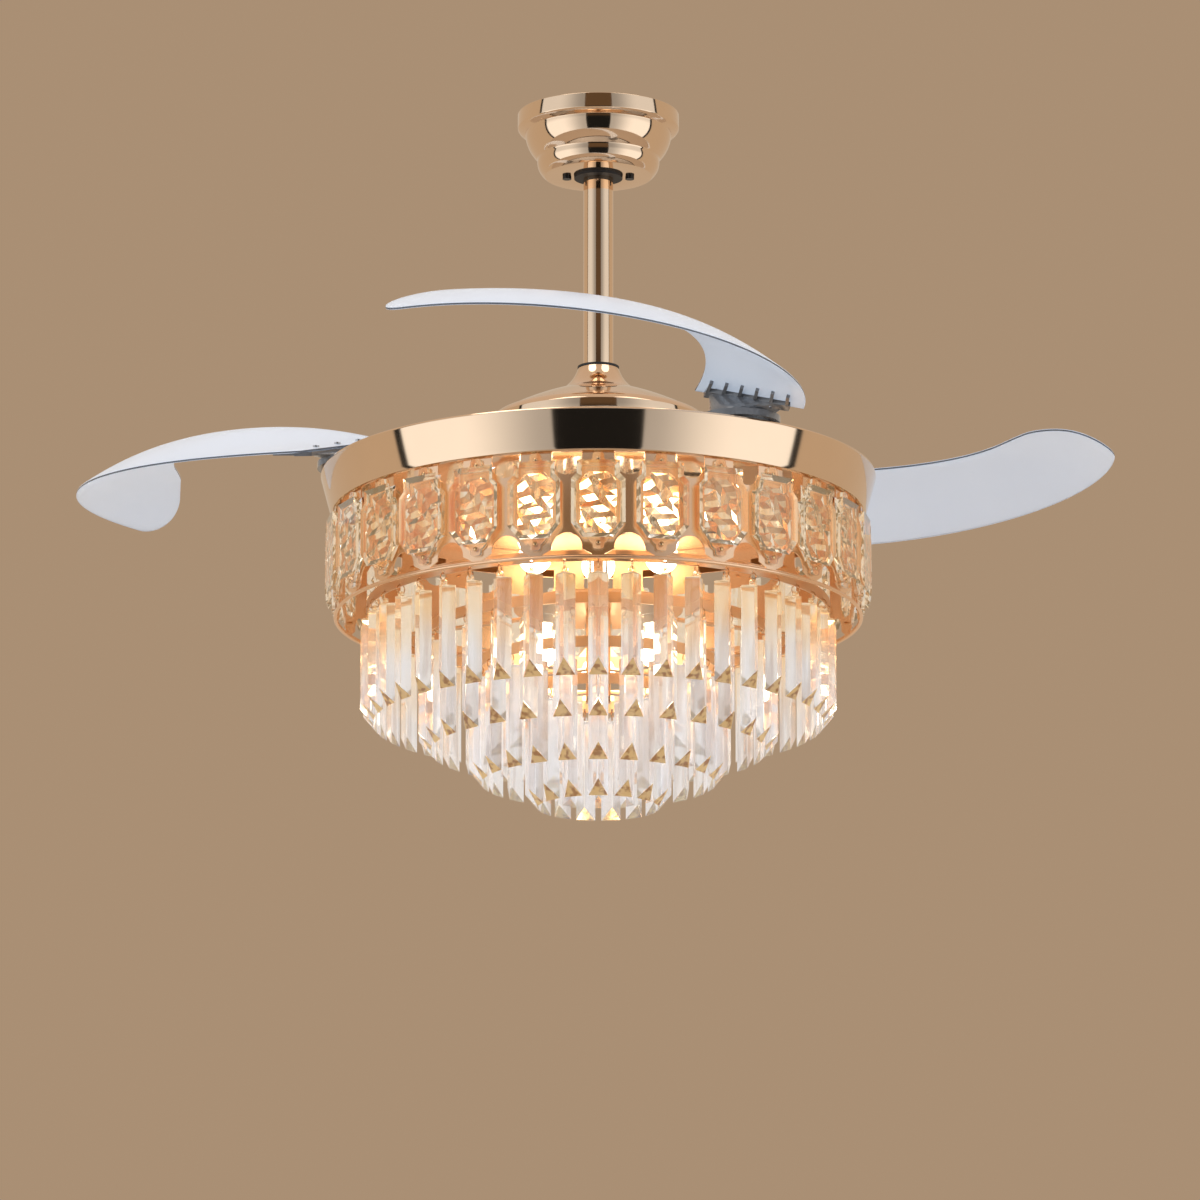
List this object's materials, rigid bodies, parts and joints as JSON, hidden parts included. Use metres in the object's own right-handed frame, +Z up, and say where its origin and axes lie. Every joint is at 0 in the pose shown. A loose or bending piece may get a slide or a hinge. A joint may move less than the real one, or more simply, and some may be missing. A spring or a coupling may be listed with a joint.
{
  "type": "retractable blade ceiling fan",
  "caption": "Ceiling fan with retracting crescent blades above a rose gold lamp drum, with glass plaques round it and tiers of hanging glass prisms.",
  "frame": {"origin": "on the ceiling face, on the fan axis", "axes": "+Z up along the downrod, +X to the right and +Y away from the camera in the picture, where the lamp faces -Y"},
  "size_m": [0.9503, 0.8168, 0.6447],
  "materials": {
    "galvanised_steel": "zinc plated",
    "rose_gold": "mirror polished rose gold plating",
    "rose_gold_trim": "polished",
    "black_rubber": "matt",
    "black_screw": "black oxide",
    "black_nylon": "matt",
    "screw_steel": "zinc plated",
    "shaft_steel": "ground",
    "lamination_steel": "stacked laminations",
    "copper_winding": "enamelled wire",
    "cut_glass": "cut and polished",
    "white_ceramic": "glazed",
    "bulb_glass": "warm white frosted",
    "white_plastic": "moulded",
    "lead_pvc": "sheath",
    "chromed_steel": "polished",
    "cast_aluminium": "as cast",
    "magnet_ferrite": "sintered",
    "spring_steel": "oiled",
    "frosted_blade": "frosted translucent plastic",
    "smoked_plastic": "smoky moulded plastic"
  },
  "bodies": {
    "fixed_frame": {"hanger_bracket": "galvanised_steel", "canopy": "rose_gold", "canopy_ring": "black_rubber", "canopy_screws": "black_screw", "hanger_ball": "black_nylon", "rod_pins": "screw_steel", "downrod": "rose_gold", "gasket_ring": "black_rubber", "shaft_coupling": "galvanised_steel", "motor_shaft": "shaft_steel", "stator_core": "lamination_steel", "stator_windings": "copper_winding", "bearing_inner_races": "shaft_steel", "motor_cover": "rose_gold", "cover_plate": "galvanised_steel", "motor_screws": "screw_steel", "lamp_pan": "rose_gold", "shaft_nut": "screw_steel", "drum": "rose_gold", "pan_screws": "screw_steel", "plaques": "cut_glass", "plaque_pins": "rose_gold_trim", "lamp_sockets": "white_ceramic", "bulbs": "bulb_glass", "driver_box": "white_plastic", "terminal_block": "black_nylon", "remote_receiver": "white_plastic", "motor_lead": "lead_pvc", "frame_stem": "chromed_steel", "stem_nut": "screw_steel", "tier_frame_1": "rose_gold", "tier_frame_2": "rose_gold", "tier_frame_3": "rose_gold", "tier_frame_4": "rose_gold", "prisms_1": "cut_glass", "prisms_2": "cut_glass", "prisms_3": "cut_glass", "prisms_4": "cut_glass", "prism_links": "rose_gold_trim"},
    "rotor": {"rotor_upper_housing": "cast_aluminium", "rotor_lower_housing": "cast_aluminium", "magnet_ring": "magnet_ferrite", "rotor_screws": "screw_steel", "bearing_outer_races": "shaft_steel", "bearing_balls": "shaft_steel", "blade_tray": "galvanised_steel", "stop_buffers": "black_rubber", "return_springs": "spring_steel"},
    "blade_front": {"blade_front": "frosted_blade", "blade_bracket_front": "smoked_plastic", "blade_screws_front": "screw_steel", "pivot_bolt_front": "shaft_steel"},
    "blade_left": {"blade_left": "frosted_blade", "blade_bracket_left": "smoked_plastic", "blade_screws_left": "screw_steel", "pivot_bolt_left": "shaft_steel"},
    "blade_back": {"blade_back": "frosted_blade", "blade_bracket_back": "smoked_plastic", "blade_screws_back": "screw_steel", "pivot_bolt_back": "shaft_steel"}
  },
  "joints": [
    {"name": "rotor_spin", "type": "hinge", "parent": "fixed_frame", "child": "rotor", "pos_m": [0, 0, -0.3175], "axis": [0, 0, 1], "continuous": true},
    {"name": "blade_fold_front", "type": "hinge", "parent": "rotor", "child": "blade_front", "pos_m": [0.12438, -0.1783, -0.343], "axis": [0, 0, 1], "range_deg": [-64.5, 20.5]},
    {"name": "blade_fold_left", "type": "hinge", "parent": "rotor", "child": "blade_left", "pos_m": [-0.2166, -0.01857, -0.343], "axis": [0, 0, 1], "range_deg": [-82.7, 2.3]},
    {"name": "blade_fold_back", "type": "hinge", "parent": "rotor", "child": "blade_back", "pos_m": [0.09222, 0.19687, -0.343], "axis": [0, 0, 1], "range_deg": [-59.3, 25.7]}
  ]
}
